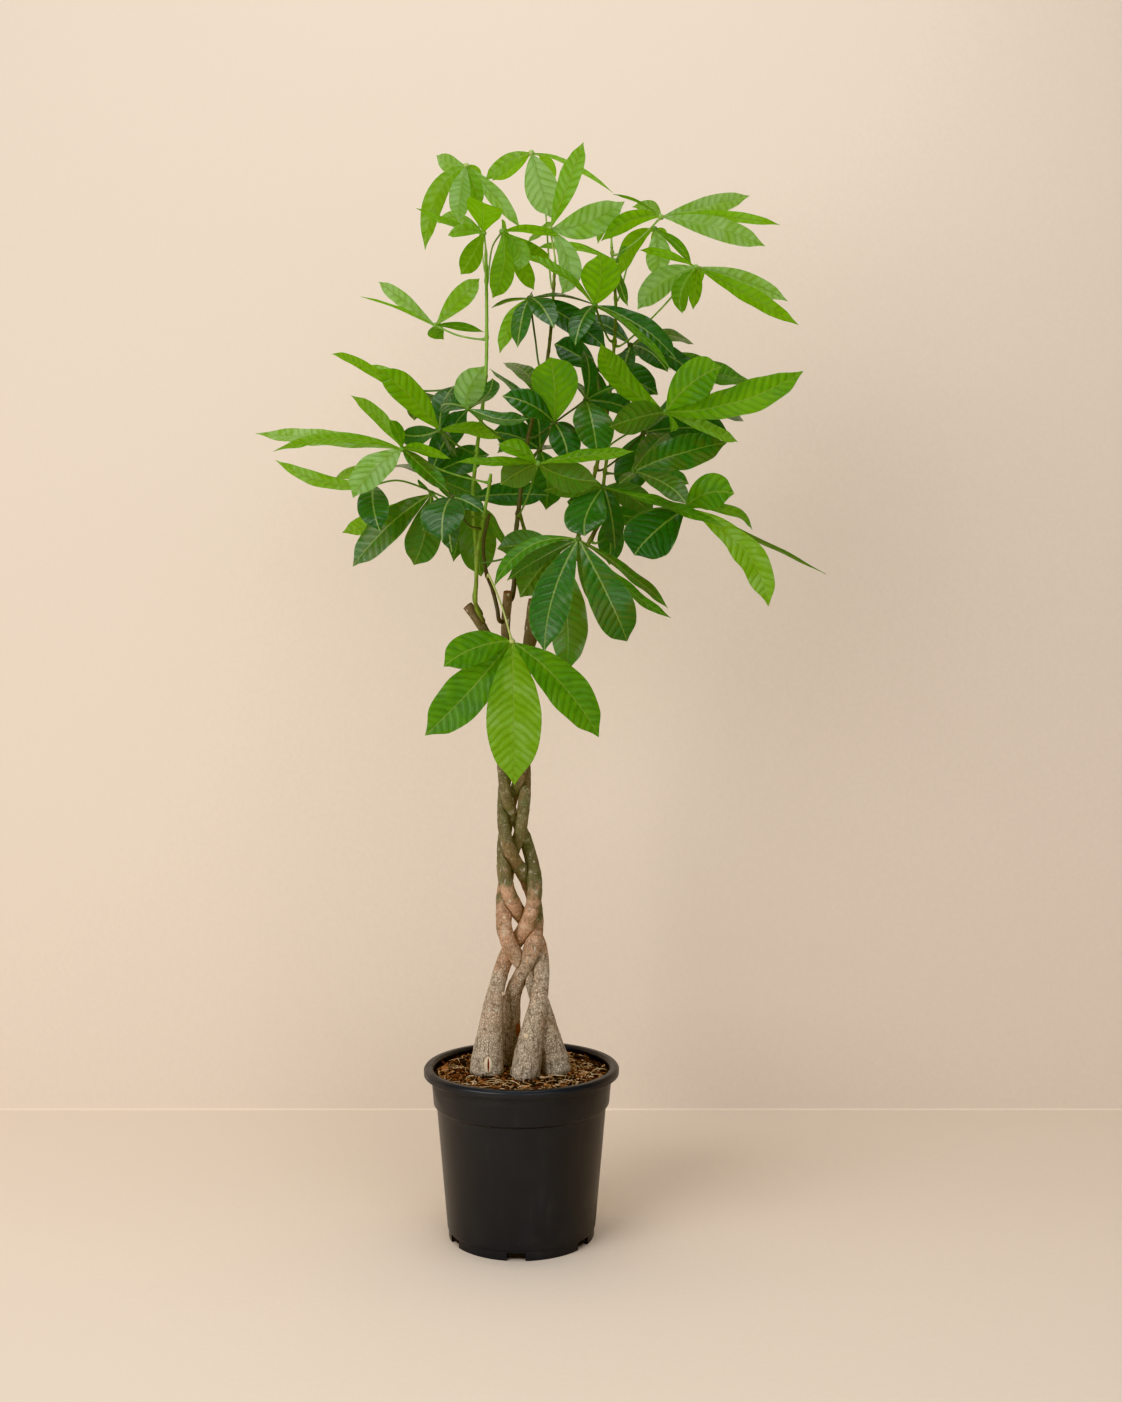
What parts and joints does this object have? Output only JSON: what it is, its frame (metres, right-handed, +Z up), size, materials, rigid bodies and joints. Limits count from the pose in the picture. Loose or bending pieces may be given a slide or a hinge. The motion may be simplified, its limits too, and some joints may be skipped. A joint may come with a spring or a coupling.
{
  "type": "potted money tree",
  "caption": "Money tree with plaited trunks in a black nursery pot filled with bark soil; green shoots rise from the plait and carry hand-shaped leaves.",
  "frame": {"origin": "centre of the pot's underside, on the floor", "axes": "+Z up along the plaited trunks, -Y towards the front, +X to the right seen from the front"},
  "size_m": [0.7231, 0.3376, 1.351],
  "materials": {
    "pot_plastic": "black moulded nursery plastic, satin with fine scuffs",
    "bark_soil": "loose orange-brown bark chips with pale fibres and white mineral bits",
    "trunk_bark": "smooth young bark, grey-beige at the foot and red-brown to olive above, dull",
    "green_stem": "smooth green shoots, slightly waxy",
    "old_leaf": "leathery deep green blades with raised veins, satin gloss above and dull below",
    "young_leaf": "thin fresh yellow-green blades that let light through"
  },
  "bodies": {
    "root": {"pot": "pot_plastic", "soil": "bark_soil", "trunk_front_left": "trunk_bark", "trunk_back_right": "trunk_bark", "trunk_front_middle": "trunk_bark", "trunk_front_right": "trunk_bark", "shoot_left_low": "green_stem", "shoot_left_tall": "green_stem", "shoot_middle_tall": "green_stem", "shoot_middle_low": "green_stem", "shoot_right_low": "green_stem", "shoot_right_tall": "green_stem", "shoot_back": "green_stem", "leaf_top_left": "young_leaf", "leaf_top_middle": "young_leaf", "leaf_top_right": "young_leaf", "leaf_high_left": "young_leaf", "leaf_high_middle": "young_leaf", "leaf_far_right_top": "young_leaf", "leaf_right_hanging": "young_leaf", "leaf_right_high": "young_leaf", "leaf_right_tuft": "young_leaf", "leaf_right_upper": "young_leaf", "leaf_far_left_top": "young_leaf", "leaf_upper_right": "old_leaf", "leaf_upper_middle": "old_leaf", "leaf_right_star": "old_leaf", "leaf_left_behind": "old_leaf", "leaf_left_upper": "old_leaf", "leaf_left_middle": "old_leaf", "leaf_left_far_low": "old_leaf", "leaf_left_low_broad": "old_leaf", "leaf_left_glossy": "old_leaf", "leaf_left_inner": "old_leaf", "leaf_middle_upper": "old_leaf", "leaf_middle_star": "old_leaf", "leaf_middle_front": "old_leaf", "leaf_right_inner": "old_leaf", "leaf_right_grey": "old_leaf", "leaf_right_light": "old_leaf", "leaf_right_low_broad": "old_leaf", "leaf_low_right": "old_leaf", "leaf_low_front": "old_leaf", "leaf_hanging_middle": "old_leaf", "leaf_hanging_left": "old_leaf", "leaf_far_left": "old_leaf", "leaf_far_middle": "old_leaf", "leaf_far_high_right": "old_leaf", "leaf_far_right": "old_leaf", "leaf_far_low_right": "old_leaf"}
  },
  "joints": []
}
